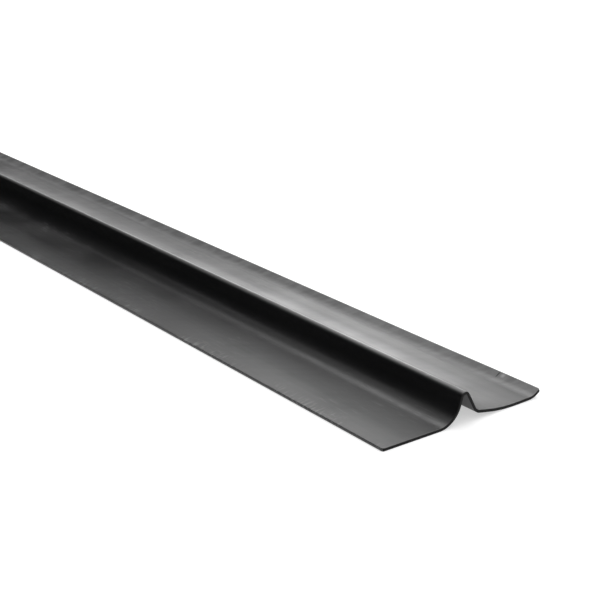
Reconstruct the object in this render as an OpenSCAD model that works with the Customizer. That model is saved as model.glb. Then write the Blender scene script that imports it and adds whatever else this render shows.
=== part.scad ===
// Lintel for a thin partition wall: one strip of sheet steel, cold rolled into two flanges that bear
// on the wall, with a narrow hollow ridge between them and a stiffening lip along one edge.
// X runs along the lintel, Y across the wall and Z up. The origin is under the middle of the lintel,
// on the plane that both flanges bear on.

/* [Stock] */
// Length of the lintel, cut square at both ends
lintel_length = 1050; // [600:50:1800]
// Thickness of the sheet
sheet = 1.5; // [1:0.1:2]

/* [Overall section] */
// Width from the plain edge to the lipped edge
section_width = 100; // [92:1:140]
// Height from the bearing plane to the top of the ridge
ridge_height = 16; // [14:0.5:25]

/* [Ridge] */
// Distance from the plain edge to the crown of the ridge
crown_offset = 49.5; // [44:0.5:54]
// Radius inside the crown, where the two webs meet
crown_radius = 1.3; // [0.8:0.1:2]
// Slope of the web that stands on the plain flange
plain_web_angle = 73; // [65:1:80]
// Slope of the web that stands on the lipped flange
lipped_web_angle = 61; // [56:1:75]
// Radius on top of the bend between the plain flange and its web
plain_root_radius = 12; // [6:0.5:14]
// Radius on top of the bend between the lipped flange and its web
lipped_root_radius = 4.5; // [2:0.5:6]

/* [Lipped flange] */
// Slope of the strip that eases the web down to the bearing plane
easing_angle = 12; // [6:1:16]
// Length of the straight part of that strip
easing_length = 4; // [2:0.5:8]
// Radius on top of the bend between that strip and the flat of the flange
easing_radius = 85; // [40:5:100]
// Width of the turned-up lip, measured level
lip_width = 8; // [7:0.5:14]
// Slope of the lip
lip_angle = 27; // [15:1:32]
// Radius on top of the bend between the flat of the flange and the lip
lip_radius = 9; // [4:0.5:10]

/* [Hidden] */
// Facets of a full circle
$fn = 180;
// How far each bend's circle reaches past the straights it touches, so that they always meet
touch = 0.0003;
// How far that circle carries on along each straight before it is cut off
touch_past = 0.5;
// How far a cutting shape reaches past what it cuts
margin = 1;

// Distance from a bend's centre to the middle of the sheet
mid = sheet / 2;
crown_mid = crown_radius + mid;
plain_root_mid = plain_root_radius + mid;
lipped_root_mid = lipped_root_radius + mid;
easing_mid = easing_radius + mid;

// A web is the straight between the bend at its root and the bend of the crown. From the height
// between the two centres this gives the distance across between them.
function web_span(rise, angle, radii) =
    radii * sin(angle) + (rise + radii * cos(angle)) / tan(angle);

// Centres of the bends, across and up, worked out from the crown towards each edge
crown_y = crown_offset - section_width / 2;
crown_z = ridge_height - sheet - crown_radius;

plain_root_z = sheet + plain_root_radius;
plain_root_y = crown_y - web_span(crown_z - plain_root_z, plain_web_angle, crown_mid + plain_root_mid);

easing_z = sheet + easing_radius;
lipped_root_z = easing_z - (easing_mid - lipped_root_mid) * cos(easing_angle)
    + easing_length * sin(easing_angle);
lipped_root_y = crown_y + web_span(crown_z - lipped_root_z, lipped_web_angle, crown_mid + lipped_root_mid);
easing_y = lipped_root_y + (easing_mid - lipped_root_mid) * sin(easing_angle)
    + easing_length * cos(easing_angle);

lip_z = sheet + lip_radius;
lip_y = section_width / 2 - lip_width;
lip_length = (lip_width - lip_z * sin(lip_angle)) / cos(lip_angle);

// The bends from the lip to the plain edge: the centre, the radius on the inside of the bend, and the
// slopes of the sheet on its plain-edge side and on its lip side. A bend whose centre is above the
// sheet has the steeper rise on its lip side.
BENDS = [
    [[lip_y, lip_z], lip_radius, 0, lip_angle],
    [[easing_y, easing_z], easing_radius, -easing_angle, 0],
    [[lipped_root_y, lipped_root_z], lipped_root_radius, -lipped_web_angle, -easing_angle],
    [[crown_y, crown_z], crown_radius, plain_web_angle, -lipped_web_angle],
    [[plain_root_y, plain_root_z], plain_root_radius, 0, plain_web_angle]
];

// A lift is a distance up through the sheet, 0 on its underside and the full thickness on top
function rises(bend) = bend[3] > bend[2];
function radius_at(bend, lift) = rises(bend) ? bend[1] + sheet - lift : bend[1] + lift;
function on_bend(bend, slope, lift) =
    bend[0] + (rises(bend) ? -1 : 1) * radius_at(bend, lift) * [-sin(slope), cos(slope)];

// Points where the straights meet the bends, and the end of the lip a given distance past its edge
function straights(lift) = [
    for (bend = BENDS) for (slope = [bend[3], bend[2]]) on_bend(bend, slope, lift)
];
function lip_end(lift, past) =
    on_bend(BENDS[0], lip_angle, lift) + (lip_length + past) * [cos(lip_angle), sin(lip_angle)];

// Where the sheet turns down its bend is a whole circle, which the sheet's own body covers the rest of.
// Where it turns up, the circle is kept to the stretch that faces the sheet.
module bend_circle(bend, lift) {
    radius = radius_at(bend, lift) + touch;
    translate(bend[0])
    if (rises(bend)) {
        spare = asin(touch_past / radius);
        low = bend[2] - spare - 90;
        high = bend[3] + spare - 90;
        reach = 1.2 * radius / cos((high - low) / 2);
        intersection() {
            circle(r = radius);
            polygon([[0, 0], reach * [cos(low), sin(low)], reach * [cos(high), sin(high)]]);
        }
    } else {
        circle(r = radius);
    }
}

// Everything below one face of the sheet, down to a depth and out past the edges by a distance
module below(lift, depth, past) {
    plain_end = -section_width / 2 - past;
    under_lip = lip_end(-depth, past);
    difference() {
        union() {
            polygon(concat(
                [[plain_end, -depth], [under_lip.x, -depth], under_lip, lip_end(lift, past)],
                straights(lift),
                [[plain_end, lift]]
            ));
            for (bend = BENDS) if (!rises(bend)) bend_circle(bend, lift);
        }
        for (bend = BENDS) if (rises(bend)) bend_circle(bend, lift);
    }
}

// The whole lintel is one piece of strip with the same section from end to end
module lintel() {
    color("#3a3a3a")
    rotate([90, 0, 90])
    linear_extrude(height = lintel_length, center = true)
    difference() {
        below(sheet, margin, 0);
        below(0, 3 * margin, margin);
    }
}

lintel();
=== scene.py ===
import math

import bpy
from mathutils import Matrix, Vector


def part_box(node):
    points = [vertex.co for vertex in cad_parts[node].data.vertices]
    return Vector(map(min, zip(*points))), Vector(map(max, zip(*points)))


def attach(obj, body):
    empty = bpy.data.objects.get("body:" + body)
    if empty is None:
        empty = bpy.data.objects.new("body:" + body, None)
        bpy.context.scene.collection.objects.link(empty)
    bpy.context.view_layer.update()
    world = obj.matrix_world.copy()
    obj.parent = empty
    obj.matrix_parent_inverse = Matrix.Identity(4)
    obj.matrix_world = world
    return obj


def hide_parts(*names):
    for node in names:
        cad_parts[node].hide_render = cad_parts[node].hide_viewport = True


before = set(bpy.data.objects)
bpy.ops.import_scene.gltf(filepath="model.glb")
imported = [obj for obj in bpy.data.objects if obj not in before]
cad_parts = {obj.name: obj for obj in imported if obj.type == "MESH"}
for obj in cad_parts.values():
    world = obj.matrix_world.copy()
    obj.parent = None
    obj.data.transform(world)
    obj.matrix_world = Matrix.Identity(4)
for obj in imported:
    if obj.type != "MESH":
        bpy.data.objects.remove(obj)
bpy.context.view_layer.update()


# ---- Lintel -------------------------------------------------------------------------------------
# One strip of galvanised sheet steel, cold rolled through a row of stands into two flanges with a
# hollow ridge between them and a stiffening lip, then sheared square at both ends and powder coated.
# The section is the same from end to end, so it is swept along X from the middle line of the sheet.
MM = 0.001
lintel_low, lintel_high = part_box("lintel")
lintel_length = lintel_high.x - lintel_low.x
section_width = lintel_high.y - lintel_low.y
ridge_height = lintel_high.z - lintel_low.z

sheet = 1.5 * MM
crown_offset = 49.5 * MM
lip_width = 8 * MM
easing_length = 4 * MM
plain_web_angle = math.radians(73)
lipped_web_angle = math.radians(61)
easing_angle = math.radians(12)
lip_angle = math.radians(27)

# Radii on the middle of the sheet: the radius on the inside of each bend and half the sheet
crown_radius = 1.3 * MM + sheet / 2
plain_root_radius = 12 * MM + sheet / 2
lipped_root_radius = 4.5 * MM + sheet / 2
easing_radius = 85 * MM + sheet / 2
lip_radius = 9 * MM + sheet / 2


def bend_rise(radius, slope, next_slope):
    """Height that a bend gains or loses between two slopes."""
    return radius * abs(math.cos(slope) - math.cos(next_slope))


def bend_run(radius, slope, next_slope):
    """Distance across that a bend takes between two slopes."""
    return radius * abs(math.sin(slope) - math.sin(next_slope))


# The webs take up what height the bends leave, and the flats of the flanges take up the width
rise = ridge_height - sheet
plain_bends = plain_root_radius + crown_radius
plain_web = (rise - bend_rise(plain_bends, 0, plain_web_angle)) / math.sin(plain_web_angle)
plain_flat = (crown_offset - plain_web * math.cos(plain_web_angle)
              - bend_run(plain_bends, 0, plain_web_angle))

lipped_web_rise = (rise - bend_rise(crown_radius, 0, lipped_web_angle)
                   - bend_rise(lipped_root_radius, lipped_web_angle, easing_angle)
                   - easing_length * math.sin(easing_angle)
                   - bend_rise(easing_radius, easing_angle, 0))
lipped_web = lipped_web_rise / math.sin(lipped_web_angle)
lipped_flat = (section_width - crown_offset - lip_width
               - bend_run(crown_radius, 0, lipped_web_angle)
               - lipped_web * math.cos(lipped_web_angle)
               - bend_run(lipped_root_radius, lipped_web_angle, easing_angle)
               - easing_length * math.cos(easing_angle)
               - bend_run(easing_radius, easing_angle, 0))
lip_straight = (lip_width - bend_run(lip_radius + sheet / 2, 0, lip_angle)) / math.cos(lip_angle)

# The strip from its plain edge to its lip: each straight, the turn and radius of the bend after it,
# and how freely the sheet may spring at the straight's two ends, from 0 at the stiff ridge to 1.
strip = [
    (plain_flat, plain_web_angle, plain_root_radius, 1.0, 0.0),
    (plain_web, -plain_web_angle - lipped_web_angle, crown_radius, 0.0, 0.0),
    (lipped_web, lipped_web_angle - easing_angle, lipped_root_radius, 0.0, 0.0),
    (easing_length, easing_angle, easing_radius, 0.0, 0.2),
    (lipped_flat, lip_angle, lip_radius, 0.2, 0.7),
    (lip_straight, 0, 0, 0.7, 1.0),
]
# Points along the section, at most this far apart
straight_step = 2.5 * MM
bend_step = math.radians(4)
# Stations along the length. The four steps next to each edge and each end are fine, for the corners.
stations = 221
fine_pitch, fine_steps = 0.4 * MM, 4
pitch = (lintel_length - 2 * fine_pitch * fine_steps) / (stations - 1 - 2 * fine_steps)


def strip_line():
    """Points along the middle of the sheet, across the section, and what holds at each of them."""
    y, z, slope = lintel_low.y, lintel_low.z + sheet / 2, 0.0
    line = []

    def note(freedom):
        line.append({"place": (y, z), "upward": (0, -math.sin(slope), math.cos(slope)),
                     "onward": (0, math.cos(slope), math.sin(slope)), "freedom": freedom})

    for place, (straight, turn, radius, freedom, next_freedom) in enumerate(strip):
        fine = fine_pitch * fine_steps
        steps = math.ceil(straight / straight_step)
        marks = [straight * (n + 1) / steps for n in range(steps)]
        if place == 0:
            marks = [fine_pitch * n for n in range(fine_steps + 1)] + [m for m in marks if m > fine]
        if place == len(strip) - 1:
            marks = [m for m in marks if m < straight - fine] + [
                straight - fine_pitch * n for n in reversed(range(fine_steps + 1))]
        start_y, start_z = y, z
        for mark in marks:
            y, z = start_y + mark * math.cos(slope), start_z + mark * math.sin(slope)
            note(freedom + (next_freedom - freedom) * mark / straight)
        steps = math.ceil(abs(turn) / bend_step)
        for _ in range(steps):
            slope += turn / steps / 2
            chord = 2 * radius * math.sin(abs(turn) / steps / 2)
            y, z = y + chord * math.cos(slope), z + chord * math.sin(slope)
            slope += turn / steps / 2
            note(next_freedom)
    return line


# The section is drawn flat and upside down, and the sweep stands it up. Each point keeps the
# sheet's upward side, the way in from the nearer edge, its distance from that edge, and how freely
# the sheet may spring.
section = strip_line()
section_line = bpy.data.meshes.new("strip_section")
section_line.from_pydata([(y, -z, 0) for y, z in (point["place"] for point in section)],
                         [(n, n + 1) for n in range(len(section) - 1)], [])
walked = [0.0]
for point, next_point in zip(section, section[1:]):
    walked.append(walked[-1] + math.dist(point["place"], next_point["place"]))
for point, across in zip(section, walked):
    past_middle = across > walked[-1] / 2
    point["edge_gap"] = walked[-1] - across if past_middle else across
    point["inward"] = [-share if past_middle else share for share in point["onward"]]
    point["lip_freedom"] = point["freedom"] ** 2 if past_middle else 0.0
for name in ("upward", "inward"):
    section_line.attributes.new(name, "FLOAT_VECTOR", "POINT").data.foreach_set(
        "vector", [share for point in section for share in point[name]])
for name in ("edge_gap", "freedom", "lip_freedom"):
    section_line.attributes.new(name, "FLOAT", "POINT").data.foreach_set(
        "value", [point[name] for point in section])
strip_object = bpy.data.objects.new("strip", section_line)
bpy.context.scene.collection.objects.link(strip_object)


def add_node(tree, kind, inputs=None, **settings):
    """A node with its settings, and its inputs by name or number: each a value or a node's output."""
    node = tree.nodes.new(kind)
    for name, value in settings.items():
        setattr(node, name, value)
    for name, value in (inputs or {}).items():
        if isinstance(value, bpy.types.NodeSocket):
            tree.links.new(value, node.inputs[name])
        else:
            node.inputs[name].default_value = value
    return node


sweep = bpy.data.node_groups.new("roll_formed_strip", "GeometryNodeTree")
sweep.interface.new_socket("Geometry", in_out="OUTPUT", socket_type="NodeSocketGeometry")
sweep.interface.new_socket("Section line", in_out="INPUT", socket_type="NodeSocketGeometry")
sweep_values = {
    "Half length": ("NodeSocketFloat", lintel_length / 2),
    "Sheet": ("NodeSocketFloat", sheet),
    "Stations": ("NodeSocketInt", stations),
    "Pitch": ("NodeSocketFloat", pitch),
    "Fine pitch": ("NodeSocketFloat", fine_pitch),
    "Fine steps": ("NodeSocketInt", fine_steps),
    "Corner radius": ("NodeSocketFloat", 1.2 * MM),
    "Ripple height": ("NodeSocketFloat", 0.12 * MM),
    "Ripple length": ("NodeSocketFloat", 140 * MM),
    "Ripple seed": ("NodeSocketFloat", 7.0),
    "Lip flare": ("NodeSocketFloat", 0.5 * MM),
    "Flare reach": ("NodeSocketFloat", 90 * MM),
    "Coating": ("NodeSocketMaterial", None),
    "Cut end coating": ("NodeSocketMaterial", None),
}
sweep_sockets = {
    name: sweep.interface.new_socket(name, in_out="INPUT", socket_type=kind)
    for name, (kind, _) in sweep_values.items()
}
given = add_node(sweep, "NodeGroupInput").outputs

# The path along X: stations stand close together at the two ends and evenly between them
path = add_node(sweep, "GeometryNodeMeshLine", {"Count": given["Stations"], "Offset": (1, 0, 0)})
station = add_node(sweep, "GeometryNodeInputIndex")
last_station = add_node(sweep, "ShaderNodeMath", {0: given["Stations"], 1: 1.0}, operation="SUBTRACT")
stations_left = add_node(sweep, "ShaderNodeMath", {
    0: last_station.outputs[0], 1: station.outputs[0]}, operation="SUBTRACT")
stations_in = add_node(sweep, "ShaderNodeMath", {
    0: station.outputs[0], 1: stations_left.outputs[0]}, operation="MINIMUM")
past_fine = add_node(sweep, "ShaderNodeMath", {
    0: stations_in.outputs[0], 1: given["Fine steps"]}, operation="SUBTRACT")
fine_length = add_node(sweep, "ShaderNodeMath", {
    0: given["Fine pitch"], 1: given["Fine steps"]}, operation="MULTIPLY")
even_place = add_node(sweep, "ShaderNodeMath", {
    0: past_fine.outputs[0], 1: given["Pitch"], 2: fine_length.outputs[0]}, operation="MULTIPLY_ADD")
fine_place = add_node(sweep, "ShaderNodeMath", {
    0: stations_in.outputs[0], 1: given["Fine pitch"]}, operation="MULTIPLY")
from_end = add_node(sweep, "ShaderNodeMath", {
    0: even_place.outputs[0], 1: fine_place.outputs[0]}, operation="MAXIMUM")
from_middle = add_node(sweep, "ShaderNodeMath", {
    0: given["Half length"], 1: from_end.outputs[0]}, operation="SUBTRACT")
half_way = add_node(sweep, "ShaderNodeMath", {
    0: stations_left.outputs[0], 1: station.outputs[0]}, operation="SUBTRACT")
path_side = add_node(sweep, "ShaderNodeMath", {0: half_way.outputs[0]}, operation="SIGN")
path_x = add_node(sweep, "ShaderNodeMath", {
    0: from_middle.outputs[0], 1: path_side.outputs[0]}, operation="MULTIPLY")
path_place = add_node(sweep, "ShaderNodeCombineXYZ", {"X": path_x.outputs[0]})
spaced_path = add_node(sweep, "GeometryNodeSetPosition", {
    "Geometry": path.outputs[0], "Position": path_place.outputs[0]})
path_curve = add_node(sweep, "GeometryNodeMeshToCurve", {"Mesh": spaced_path.outputs[0]})
section_curve = add_node(sweep, "GeometryNodeMeshToCurve", {"Mesh": given["Section line"]})
middle = add_node(sweep, "GeometryNodeCurveToMesh", {
    "Curve": path_curve.outputs[0], "Profile Curve": section_curve.outputs[0]})

upward, inward, edge_gap, freedom, lip_freedom = (
    add_node(sweep, "GeometryNodeInputNamedAttribute", {"Name": name}, data_type=kind)
    for name, kind in (("upward", "FLOAT_VECTOR"), ("inward", "FLOAT_VECTOR"), ("edge_gap", "FLOAT"),
                       ("freedom", "FLOAT"), ("lip_freedom", "FLOAT")))

# The four corners are dulled: each square of the corner radius is drawn in to a quarter circle
swept_place = add_node(sweep, "GeometryNodeInputPosition")
x_place = add_node(sweep, "ShaderNodeSeparateXYZ", {0: swept_place.outputs[0]})
x_side = add_node(sweep, "ShaderNodeMath", {0: x_place.outputs["X"]}, operation="SIGN")
x_size = add_node(sweep, "ShaderNodeMath", {0: x_place.outputs["X"]}, operation="ABSOLUTE")
end_gap = add_node(sweep, "ShaderNodeMath", {
    0: given["Half length"], 1: x_size.outputs[0]}, operation="SUBTRACT")
gaps = add_node(sweep, "ShaderNodeCombineXYZ", {
    "X": end_gap.outputs[0], "Y": edge_gap.outputs["Attribute"]})
corner = add_node(sweep, "ShaderNodeCombineXYZ", {
    "X": given["Corner radius"], "Y": given["Corner radius"]})
short_of = add_node(sweep, "ShaderNodeVectorMath", {
    0: corner.outputs[0], 1: gaps.outputs[0]}, operation="SUBTRACT")
past = add_node(sweep, "ShaderNodeVectorMath", {
    0: short_of.outputs[0], 1: (0, 0, 0)}, operation="MAXIMUM")
past_share = add_node(sweep, "ShaderNodeSeparateXYZ", {0: past.outputs[0]})
square_size = add_node(sweep, "ShaderNodeMath", {
    0: past_share.outputs["X"], 1: past_share.outputs["Y"]}, operation="MAXIMUM")
diagonal = add_node(sweep, "ShaderNodeVectorMath", {0: past.outputs[0]}, operation="LENGTH")
kept_share = add_node(sweep, "ShaderNodeMath", {
    0: square_size.outputs[0], 1: diagonal.outputs["Value"]}, operation="DIVIDE")
drawn_share = add_node(sweep, "ShaderNodeMath", {
    0: 1.0, 1: kept_share.outputs[0]}, operation="SUBTRACT")
drawn = add_node(sweep, "ShaderNodeVectorMath", {
    0: past.outputs[0], "Scale": drawn_share.outputs[0]}, operation="SCALE")
drawn_by = add_node(sweep, "ShaderNodeSeparateXYZ", {0: drawn.outputs[0]})
drawn_along = add_node(sweep, "ShaderNodeMath", {
    0: drawn_by.outputs["X"], 1: x_side.outputs[0]}, operation="MULTIPLY")
drawn_x = add_node(sweep, "ShaderNodeMath", {
    0: drawn_along.outputs[0], 1: -1.0}, operation="MULTIPLY")
along_shift = add_node(sweep, "ShaderNodeCombineXYZ", {"X": drawn_x.outputs[0]})
across_shift = add_node(sweep, "ShaderNodeVectorMath", {
    0: inward.outputs["Attribute"], "Scale": drawn_by.outputs["Y"]}, operation="SCALE")
corner_shift = add_node(sweep, "ShaderNodeVectorMath", {
    0: along_shift.outputs[0], 1: across_shift.outputs[0]}, operation="ADD")

# The rolls leave a long ripple in the free edges, and the lip springs up a little where it is cut
ripple_scale = add_node(sweep, "ShaderNodeMath", {
    0: 1.0, 1: given["Ripple length"]}, operation="DIVIDE")
ripple = add_node(sweep, "ShaderNodeTexNoise", {
    "W": given["Ripple seed"], "Scale": ripple_scale.outputs[0], "Detail": 1.0}, noise_dimensions="4D")
free_ripple = add_node(sweep, "ShaderNodeMath", {
    0: ripple.outputs[0], 1: freedom.outputs["Attribute"]}, operation="MULTIPLY")
near_end = add_node(sweep, "ShaderNodeMapRange", {
    "Value": end_gap.outputs[0], "From Max": given["Flare reach"], "To Min": 1.0, "To Max": 0.0,
}, interpolation_type="SMOOTHSTEP")
free_flare = add_node(sweep, "ShaderNodeMath", {
    0: near_end.outputs[0], 1: lip_freedom.outputs["Attribute"]}, operation="MULTIPLY")
half_sheet = add_node(sweep, "ShaderNodeMath", {0: given["Sheet"], 1: 0.5}, operation="MULTIPLY")
ripple_lift = add_node(sweep, "ShaderNodeMath", {
    0: free_ripple.outputs[0], 1: given["Ripple height"], 2: half_sheet.outputs[0],
}, operation="MULTIPLY_ADD")
lift = add_node(sweep, "ShaderNodeMath", {
    0: free_flare.outputs[0], 1: given["Lip flare"], 2: ripple_lift.outputs[0],
}, operation="MULTIPLY_ADD")
top_shift = add_node(sweep, "ShaderNodeVectorMath", {
    0: upward.outputs["Attribute"], 1: lift.outputs[0], 2: corner_shift.outputs[0],
}, operation="MULTIPLY_ADD")
top = add_node(sweep, "GeometryNodeSetPosition", {
    "Geometry": middle.outputs[0], "Offset": top_shift.outputs[0]})

# The underside is the top face turned over and pushed down through the sheet
turned = add_node(sweep, "GeometryNodeFlipFaces", {"Mesh": top.outputs[0]})
pushed = add_node(sweep, "GeometryNodeExtrudeMesh", {
    "Mesh": turned.outputs[0], "Offset Scale": 0.0, "Individual": False})
downward = add_node(sweep, "ShaderNodeMath", {0: given["Sheet"], 1: -1.0}, operation="MULTIPLY")
through_sheet = add_node(sweep, "ShaderNodeVectorMath", {
    0: upward.outputs["Attribute"], "Scale": downward.outputs[0]}, operation="SCALE")
underside = add_node(sweep, "GeometryNodeSetPosition", {
    "Geometry": pushed.outputs["Mesh"], "Selection": pushed.outputs["Top"],
    "Offset": through_sheet.outputs[0]})
both_faces = add_node(sweep, "GeometryNodeJoinGeometry", {"Geometry": underside.outputs[0]})
sweep.links.new(top.outputs[0], both_faces.inputs[0])
closed = add_node(sweep, "GeometryNodeMergeByDistance", {
    "Geometry": both_faces.outputs[0], "Distance": 0.001 * MM})
smooth = add_node(sweep, "GeometryNodeSetShadeSmooth", {"Geometry": closed.outputs[0]})
whole = add_node(sweep, "GeometryNodeRealizeInstances", {"Geometry": smooth.outputs[0]})
coated = add_node(sweep, "GeometryNodeSetMaterial", {
    "Geometry": whole.outputs[0], "Material": given["Coating"]})
# A face whose normal points along X by more than this share belongs to a cut end
end_facing = 0.7
facing = add_node(sweep, "GeometryNodeInputNormal")
facing_xyz = add_node(sweep, "ShaderNodeSeparateXYZ", {0: facing.outputs[0]})
facing_end = add_node(sweep, "ShaderNodeMath", {0: facing_xyz.outputs["X"]}, operation="ABSOLUTE")
at_end = add_node(sweep, "ShaderNodeMath", {
    0: facing_end.outputs[0], 1: end_facing}, operation="GREATER_THAN")
ends_coated = add_node(sweep, "GeometryNodeSetMaterial", {
    "Geometry": coated.outputs[0], "Selection": at_end.outputs[0],
    "Material": given["Cut end coating"]})
add_node(sweep, "NodeGroupOutput", {"Geometry": ends_coated.outputs[0]})


def linear_colour(hex_colour):
    """An sRGB colour such as #3a3a3a as linear red, green, blue and alpha."""
    shares = [int(hex_colour[n:n + 2], 16) / 255 for n in (1, 3, 5)]
    return [s / 12.92 if s <= 0.04045 else ((s + 0.055) / 1.055) ** 2.4 for s in shares] + [1]


# A colour mix has its two colours and its result under these numbers, because their names repeat
FIRST, SECOND, MIXED = 6, 7, 2


# Semi-gloss black polyester powder, sprayed on the zinc and baked on after forming. It runs
# together into a fine orange peel, so it is deep black face on and silvery towards a low light.
powder_coat = bpy.data.materials.new("black_polyester_powder_coat")
powder_coat.use_nodes = True
coat = powder_coat.node_tree
coat.nodes.clear()
place = add_node(coat, "ShaderNodeTexCoord").outputs["Object"]
place_xyz = add_node(coat, "ShaderNodeSeparateXYZ", {0: place})

# Orange peel: bumps 1.8 mm across and under 0.01 mm high
peel = add_node(coat, "ShaderNodeTexNoise", {"Vector": place, "Scale": 1 / (1.8 * MM), "Detail": 1.5})
peel_bump = add_node(coat, "ShaderNodeBump", {
    "Height": peel.outputs[0], "Strength": 1.0, "Distance": 0.008 * MM})
# Slack in the sheet between the rolls: shallow waves 30 mm long
slack = add_node(coat, "ShaderNodeTexNoise", {"Vector": place, "Scale": 1 / (30 * MM), "Detail": 0.5})
slack_bump = add_node(coat, "ShaderNodeBump", {
    "Height": slack.outputs[0], "Strength": 1.0, "Distance": 0.2 * MM, "Normal": peel_bump.outputs[0]})
# Nibs: dust baked into the powder, 0.8 mm wide and 9 mm apart
dust = add_node(coat, "ShaderNodeTexVoronoi", {"Vector": place, "Scale": 1 / (9 * MM)})
nibs = add_node(coat, "ShaderNodeMapRange", {
    "Value": dust.outputs["Distance"], "From Min": 0.4 / 9, "From Max": 0.1 / 9})
nib_bump = add_node(coat, "ShaderNodeBump", {
    "Height": nibs.outputs[0], "Strength": 1.0, "Distance": 0.04 * MM, "Normal": slack_bump.outputs[0]})

# Rubbing along the bundle: streaks 2.5 mm wide and 120 mm long that dull the gloss
along_map = add_node(coat, "ShaderNodeMapping", {"Vector": place, "Scale": (2.5 / 120, 1, 1)})
along_rub = add_node(coat, "ShaderNodeTexNoise", {
    "Vector": along_map.outputs[0], "Scale": 1 / (2.5 * MM), "Detail": 3.0})
# Wiping and handling: slanting smears 4 mm wide and 50 mm long
smear_map = add_node(coat, "ShaderNodeMapping", {
    "Vector": place, "Rotation": (0, 0, math.radians(-38)), "Scale": (1, 50 / 4, 1),
}, vector_type="TEXTURE")
smear = add_node(coat, "ShaderNodeTexNoise", {
    "Vector": smear_map.outputs[0], "Scale": 1 / (4 * MM), "Detail": 3.0})
# Cloudy patches 45 mm across, where the powder went on thicker or thinner
cloud = add_node(coat, "ShaderNodeTexNoise", {"Vector": place, "Scale": 1 / (45 * MM), "Detail": 4.0})
smeared = add_node(coat, "ShaderNodeMath", {
    0: smear.outputs[0], 1: 0.4, 2: cloud.outputs[0]}, operation="MULTIPLY_ADD")
worn = add_node(coat, "ShaderNodeMath", {
    0: along_rub.outputs[0], 1: 0.4, 2: smeared.outputs[0]}, operation="MULTIPLY_ADD")
# Glossiest where none of the three has dulled it
roughness = add_node(coat, "ShaderNodeMapRange", {
    "Value": worn.outputs[0], "From Min": 0.6, "From Max": 1.2, "To Min": 0.28, "To Max": 0.44})

# Where lintels rub in the bundle the black turns grey. On the lip the grey is also painted sheen.
# Short scratches break it up, 1 mm wide and 9 mm long.
scratch_map = add_node(coat, "ShaderNodeMapping", {"Vector": place, "Scale": (1 / 9, 1, 1)})
scratches = add_node(coat, "ShaderNodeTexNoise", {
    "Vector": scratch_map.outputs[0], "Scale": 1 / (1.0 * MM), "Detail": 2.0})
# The lips lie on each other and are hazed over, most where the slanting smears cross them. The
# grey there is partly this haze and partly painted sheen, which lifts the lip above what the lights
# give.
lip_reach = add_node(coat, "ShaderNodeMapRange", {
    "Value": place_xyz.outputs["Y"], "From Min": 40.5 * MM, "From Max": 43.5 * MM})
lip_scuff_sheen = add_node(coat, "ShaderNodeMapRange", {
    "Value": smear.outputs[0], "From Min": 0.38, "From Max": 0.62, "To Min": 0.66, "To Max": 1.0})
lip_haze_and_sheen = add_node(coat, "ShaderNodeMath", {
    0: lip_reach.outputs[0], 1: lip_scuff_sheen.outputs[0]}, operation="MULTIPLY")
# The top of the crown is made a little paler grey along its whole length
crown_reach = add_node(coat, "ShaderNodeMapRange", {
    "Value": place_xyz.outputs["Z"],
    "From Min": ridge_height - 0.7 * MM, "From Max": ridge_height - 0.2 * MM})
crown_paler_grey = add_node(coat, "ShaderNodeMath", {
    0: crown_reach.outputs[0], 1: 0.4}, operation="MULTIPLY")
# The crown and patches of the flanges, below 4 mm, show light dashes where they have touched
patches = add_node(coat, "ShaderNodeMapRange", {
    "Value": cloud.outputs[0], "From Min": 0.5, "From Max": 0.6, "To Max": 0.5})
on_flange = add_node(coat, "ShaderNodeMapRange", {
    "Value": place_xyz.outputs["Z"], "From Min": 4 * MM, "From Max": 2.5 * MM})
flange_patches = add_node(coat, "ShaderNodeMath", {
    0: patches.outputs[0], 1: on_flange.outputs[0]}, operation="MULTIPLY")
dashed_places = add_node(coat, "ShaderNodeMath", {
    0: crown_reach.outputs[0], 1: flange_patches.outputs[0]}, operation="MAXIMUM")
dashes = add_node(coat, "ShaderNodeMapRange", {
    "Value": scratches.outputs[0], "From Min": 0.56, "From Max": 0.7, "To Max": 0.5})
dash_rub = add_node(coat, "ShaderNodeMath", {
    0: dashed_places.outputs[0], 1: dashes.outputs[0]}, operation="MULTIPLY")
# Knocks across the plain edge, in groups: marks 1.5 mm wide that reach up to 8 mm in
knock_map = add_node(coat, "ShaderNodeMapping", {
    "Vector": place, "Rotation": (0, 0, math.radians(12)), "Scale": (1, 5, 1)}, vector_type="TEXTURE")
knocks = add_node(coat, "ShaderNodeTexNoise", {
    "Vector": knock_map.outputs[0], "Scale": 1 / (1.5 * MM), "Detail": 1.0})
knock_marks = add_node(coat, "ShaderNodeMapRange", {
    "Value": knocks.outputs[0], "From Min": 0.5, "From Max": 0.66, "To Max": 0.6})
edge_reach = add_node(coat, "ShaderNodeMapRange", {
    "Value": place_xyz.outputs["Y"],
    "From Min": lintel_low.y + 8 * MM, "From Max": lintel_low.y + 2 * MM})
knock_groups = add_node(coat, "ShaderNodeMapRange", {
    "Value": cloud.outputs[0], "From Min": 0.42, "From Max": 0.55})
knocked_edge = add_node(coat, "ShaderNodeMath", {
    0: edge_reach.outputs[0], 1: knock_groups.outputs[0]}, operation="MULTIPLY")
knock_rub = add_node(coat, "ShaderNodeMath", {
    0: knocked_edge.outputs[0], 1: knock_marks.outputs[0]}, operation="MULTIPLY")
marks = add_node(coat, "ShaderNodeMath", {
    0: dash_rub.outputs[0], 1: knock_rub.outputs[0]}, operation="MAXIMUM")
marks_and_lip_sheen = add_node(coat, "ShaderNodeMath", {
    0: lip_haze_and_sheen.outputs[0], 1: marks.outputs[0]}, operation="MAXIMUM")
wear_and_sheen_grey = add_node(coat, "ShaderNodeMath", {
    0: marks_and_lip_sheen.outputs[0], 1: crown_paler_grey.outputs[0]}, operation="MAXIMUM")
# The grey mix: real wear marks, the paler crown top, and painted sheen on the lip
black_to_grey = add_node(coat, "ShaderNodeMix", {
    "Factor": wear_and_sheen_grey.outputs[0], FIRST: linear_colour("#131314"), SECOND: linear_colour("#6a6a6a"),
}, data_type="RGBA")

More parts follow.
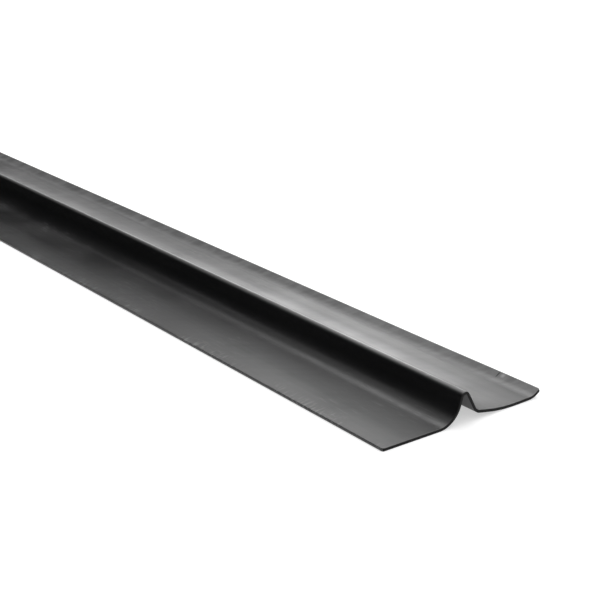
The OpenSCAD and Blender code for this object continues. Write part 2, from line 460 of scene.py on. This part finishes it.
# A knock across the lip 26 mm from its end: a dark nick 0.8 mm wide and 4.4 mm long, with a pale
# bruise 3 mm beside it
nick_place = (lintel_high.x - 26.5 * MM, lintel_high.y - 2.4 * MM, 3.2 * MM)
nick_half_width, nick_half_length = 0.4 * MM, 2.2 * MM
bruise_place = (lintel_high.x - 23.5 * MM, lintel_high.y - 2.2 * MM, 3.3 * MM)
from_nick = add_node(coat, "ShaderNodeVectorMath", {0: place, 1: nick_place}, operation="SUBTRACT")
nick_share = add_node(coat, "ShaderNodeVectorMath", {
    0: from_nick.outputs[0], 1: (1 / nick_half_width, 1 / nick_half_length, 1 / nick_half_length),
}, operation="MULTIPLY")
nick_gap = add_node(coat, "ShaderNodeVectorMath", {0: nick_share.outputs[0]}, operation="LENGTH")
nick = add_node(coat, "ShaderNodeMapRange", {
    "Value": nick_gap.outputs["Value"], "From Min": 1.2, "From Max": 0.7})
bruise_gap = add_node(coat, "ShaderNodeVectorMath", {0: place, 1: bruise_place}, operation="DISTANCE")
bruise = add_node(coat, "ShaderNodeMapRange", {
    "Value": bruise_gap.outputs["Value"], "From Min": 1.8 * MM, "From Max": 0.6 * MM})
bruised = add_node(coat, "ShaderNodeMix", {
    "Factor": bruise.outputs[0], FIRST: black_to_grey.outputs[MIXED],
    SECOND: linear_colour("#8c8c8c")}, data_type="RGBA")
nicked = add_node(coat, "ShaderNodeMix", {
    "Factor": nick.outputs[0], FIRST: bruised.outputs[MIXED],
    SECOND: linear_colour("#131314")}, data_type="RGBA")

dulled = add_node(coat, "ShaderNodeMath", {
    0: wear_and_sheen_grey.outputs[0], 1: 0.12, 2: roughness.outputs[0]}, operation="MULTIPLY_ADD")
powder = add_node(coat, "ShaderNodeBsdfPrincipled", {
    "Base Color": nicked.outputs[MIXED], "Roughness": dulled.outputs[0], "IOR": 1.5,
    "Normal": nib_bump.outputs[0]})
add_node(coat, "ShaderNodeOutputMaterial", {"Surface": powder.outputs[0]})

# The same powder over the sheared ends, where the steel is torn and the powder draws thin. Its low
# reflection is painted shade that makes the ends look dead black. The tears run through the sheet.
cut_end_shade_coat = bpy.data.materials.new("sheared_steel_with_painted_shade")
cut_end_shade_coat.use_nodes = True
ends = cut_end_shade_coat.node_tree
ends.nodes.clear()
end_place = add_node(ends, "ShaderNodeTexCoord").outputs["Object"]
# Tears 0.3 mm wide and 1.5 mm long, up through the sheet
tear_map = add_node(ends, "ShaderNodeMapping", {"Vector": end_place, "Scale": (1, 1, 0.3 / 1.5)})
tears = add_node(ends, "ShaderNodeTexNoise", {
    "Vector": tear_map.outputs[0], "Scale": 1 / (0.3 * MM), "Detail": 3.0})
tear_bump = add_node(ends, "ShaderNodeBump", {
    "Height": tears.outputs[0], "Strength": 1.0, "Distance": 0.03 * MM})
tear_roughness = add_node(ends, "ShaderNodeMapRange", {
    "Value": tears.outputs[0], "From Min": 0.3, "From Max": 0.7, "To Min": 0.5, "To Max": 0.75})
torn = add_node(ends, "ShaderNodeMix", {
    "Factor": tears.outputs[0], FIRST: linear_colour("#0d0d0e"),
    SECOND: linear_colour("#191919")}, data_type="RGBA")
# The specular level of 0.15 is painted shade on the cut ends
shaded_thin_powder = add_node(ends, "ShaderNodeBsdfPrincipled", {
    "Base Color": torn.outputs[MIXED], "Roughness": tear_roughness.outputs[0], "IOR": 1.5,
    "Specular IOR Level": 0.15, "Normal": tear_bump.outputs[0]})
add_node(ends, "ShaderNodeOutputMaterial", {"Surface": shaded_thin_powder.outputs[0]})

sweep_modifier = strip_object.modifiers.new("sweep", "NODES")
sweep_modifier.node_group = sweep
coatings = {"Coating": powder_coat, "Cut end coating": cut_end_shade_coat}
for name, (_, value) in sweep_values.items():
    sweep_modifier[sweep_sockets[name].identifier] = coatings.get(name, value)
sheared = strip_object.modifiers.new("sheared_edges", "BEVEL")
sheared.width = 0.15 * MM
sheared.segments = 2
sheared.angle_limit = math.radians(60)

formed = strip_object.evaluated_get(bpy.context.evaluated_depsgraph_get())
lintel = bpy.data.objects.new("coated_lintel", bpy.data.meshes.new_from_object(formed))
bpy.context.scene.collection.objects.link(lintel)
bpy.data.objects.remove(strip_object)
lintel.data.materials.pop(index=0)
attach(lintel, "root")
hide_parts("lintel")


# ---- Studio -------------------------------------------------------------------------------------
# A plain pale floor in a white room. Three black screens of cloth stand around the lintel: a low one
# in front of its near half, a high one in front of its far half and one past its far end. They are
# only mirrored, so the sides turned away from the lights stay black.
floor = bpy.data.objects.new("floor", bpy.data.meshes.new("floor"))
reach = 30.0
floor.data.from_pydata(
    [(-reach, -reach, 0), (reach, -reach, 0), (reach, reach, 0), (-reach, reach, 0)],
    [], [(0, 1, 2, 3)])
bpy.context.scene.collection.objects.link(floor)
# Matt pale paint that also glows a little to the eye, so the floor and the room join without a line
floor_paint = bpy.data.materials.new("white_floor_paint")
floor_paint.use_nodes = True
paint = floor_paint.node_tree
paint.nodes.clear()


def seen_directly(tree):
    """1 for rays from the camera, a mirror or glass, and 0 for the light that falls on things."""
    path = add_node(tree, "ShaderNodeLightPath").outputs
    seen = add_node(tree, "ShaderNodeMath", {0: path["Is Camera Ray"], 1: path["Is Glossy Ray"]},
                    operation="MAXIMUM").outputs[0]
    return add_node(tree, "ShaderNodeMath", {0: seen, 1: path["Is Transmission Ray"]},
                    operation="MAXIMUM").outputs[0]


matt = add_node(paint, "ShaderNodeBsdfDiffuse", {"Color": linear_colour("#d0d0d0")})
glow_strength = add_node(paint, "ShaderNodeMath", {
    0: seen_directly(paint), 1: 0.5}, operation="MULTIPLY")
glow = add_node(paint, "ShaderNodeEmission", {
    "Color": (1, 1, 1, 1), "Strength": glow_strength.outputs[0]})
both_paints = add_node(paint, "ShaderNodeAddShader", {0: matt.outputs[0], 1: glow.outputs[0]})
add_node(paint, "ShaderNodeOutputMaterial", {"Surface": both_paints.outputs[0]})
floor.data.materials.append(floor_paint)

# The room shines at full strength to the eye and gives a softer level of light
room = bpy.data.worlds.new("white_room")
bpy.context.scene.world = room
room.use_nodes = True
room.node_tree.nodes.clear()
strength = add_node(room.node_tree, "ShaderNodeMapRange", {
    "Value": seen_directly(room.node_tree), "To Min": 0.75, "To Max": 1.0})
air = add_node(room.node_tree, "ShaderNodeBackground", {
    "Color": (1, 1, 1, 1), "Strength": strength.outputs[0]})
add_node(room.node_tree, "ShaderNodeOutputWorld", {"Surface": air.outputs[0]})

# Black velvet, which gives nothing back
screen_cloth = bpy.data.materials.new("black_screen_cloth")
screen_cloth.use_nodes = True
cloth = screen_cloth.node_tree
cloth.nodes.clear()
velvet = add_node(cloth, "ShaderNodeBsdfDiffuse", {"Color": linear_colour("#000000")})
add_node(cloth, "ShaderNodeOutputMaterial", {"Surface": velvet.outputs[0]})
# Each screen: the two ends of its foot on the floor and its height
screens = [((1.2, -0.06), (0.05, -0.06), 0.12),
           ((0.05, -0.06), (-1.25, -0.06), 1.0),
           ((-1.25, -0.06), (-1.25, 1.0), 1.4)]
screen = bpy.data.objects.new("black_screen", bpy.data.meshes.new("black_screen"))
screen.data.from_pydata(
    [(*foot, z) for start, end, height in screens
     for foot, z in ((start, 0), (end, 0), (end, height), (start, height))],
    [], [(n, n + 1, n + 2, n + 3) for n in range(0, 4 * len(screens), 4)])
screen.data.materials.append(screen_cloth)
bpy.context.scene.collection.objects.link(screen)
screen.visible_camera = screen.visible_shadow = screen.visible_diffuse = False


# ---- Lights -------------------------------------------------------------------------------------
# Three small soft lights stand behind the lintel and skim over the ridge, placed from the spot that
# the camera looks at. One large soft light hangs overhead.
aim = Vector((0.3454, 0.0393, 0))


def softbox(name, azimuth, distance, low, high, width, radiance):
    """A standing soft light, given by how bright its face is. Azimuth 0 is in front, along -Y."""
    turn = math.radians(azimuth)
    out = Vector((math.sin(turn), -math.cos(turn), 0))
    lamp = bpy.data.lights.new(name, "AREA")
    lamp.shape = "RECTANGLE"
    lamp.size, lamp.size_y = width, high - low
    lamp.energy = math.pi * radiance * width * (high - low)
    holder = bpy.data.objects.new(name, lamp)
    holder.location = aim + out * distance + Vector((0, 0, (low + high) / 2))
    holder.rotation_mode = "QUATERNION"
    holder.rotation_quaternion = out.to_track_quat("Z", "Y")
    bpy.context.scene.collection.objects.link(holder)


softbox("tall_softbox", azimuth=226, distance=1.5, low=0.25, high=0.5, width=0.42, radiance=6.8)
softbox("low_softbox", azimuth=243, distance=1.5, low=0.1, high=0.3, width=0.46, radiance=3.1)
softbox("side_softbox", azimuth=240, distance=1.5, low=0.3, high=0.5, width=0.3, radiance=1.2)
overhead = bpy.data.lights.new("overhead_softbox", "AREA")
overhead.shape, overhead.size, overhead.size_y = "RECTANGLE", 2.0, 1.2
overhead_radiance = 2.8
overhead.energy = math.pi * overhead_radiance * overhead.size * overhead.size_y
hanger = bpy.data.objects.new("overhead_softbox", overhead)
hanger.location = (-0.3, 0.9, 1.5)
bpy.context.scene.collection.objects.link(hanger)


# ---- Camera -------------------------------------------------------------------------------------
# It stands off the near end on the plain flange's side, and looks along the lintel and a little down
camera_azimuth, camera_elevation = math.radians(53.05), math.radians(19.98)
camera_distance = 0.7869
back = Vector((math.sin(camera_azimuth) * math.cos(camera_elevation),
               -math.cos(camera_azimuth) * math.cos(camera_elevation), math.sin(camera_elevation)))
camera = bpy.data.objects.new("camera", bpy.data.cameras.new("camera"))
camera.data.lens = 81.54
camera.location = aim + back * camera_distance
camera.rotation_mode = "QUATERNION"
camera.rotation_quaternion = back.to_track_quat("Z", "Y")
bpy.context.scene.collection.objects.link(camera)
bpy.context.scene.camera = camera
bpy.context.scene.view_settings.view_transform = "Standard"
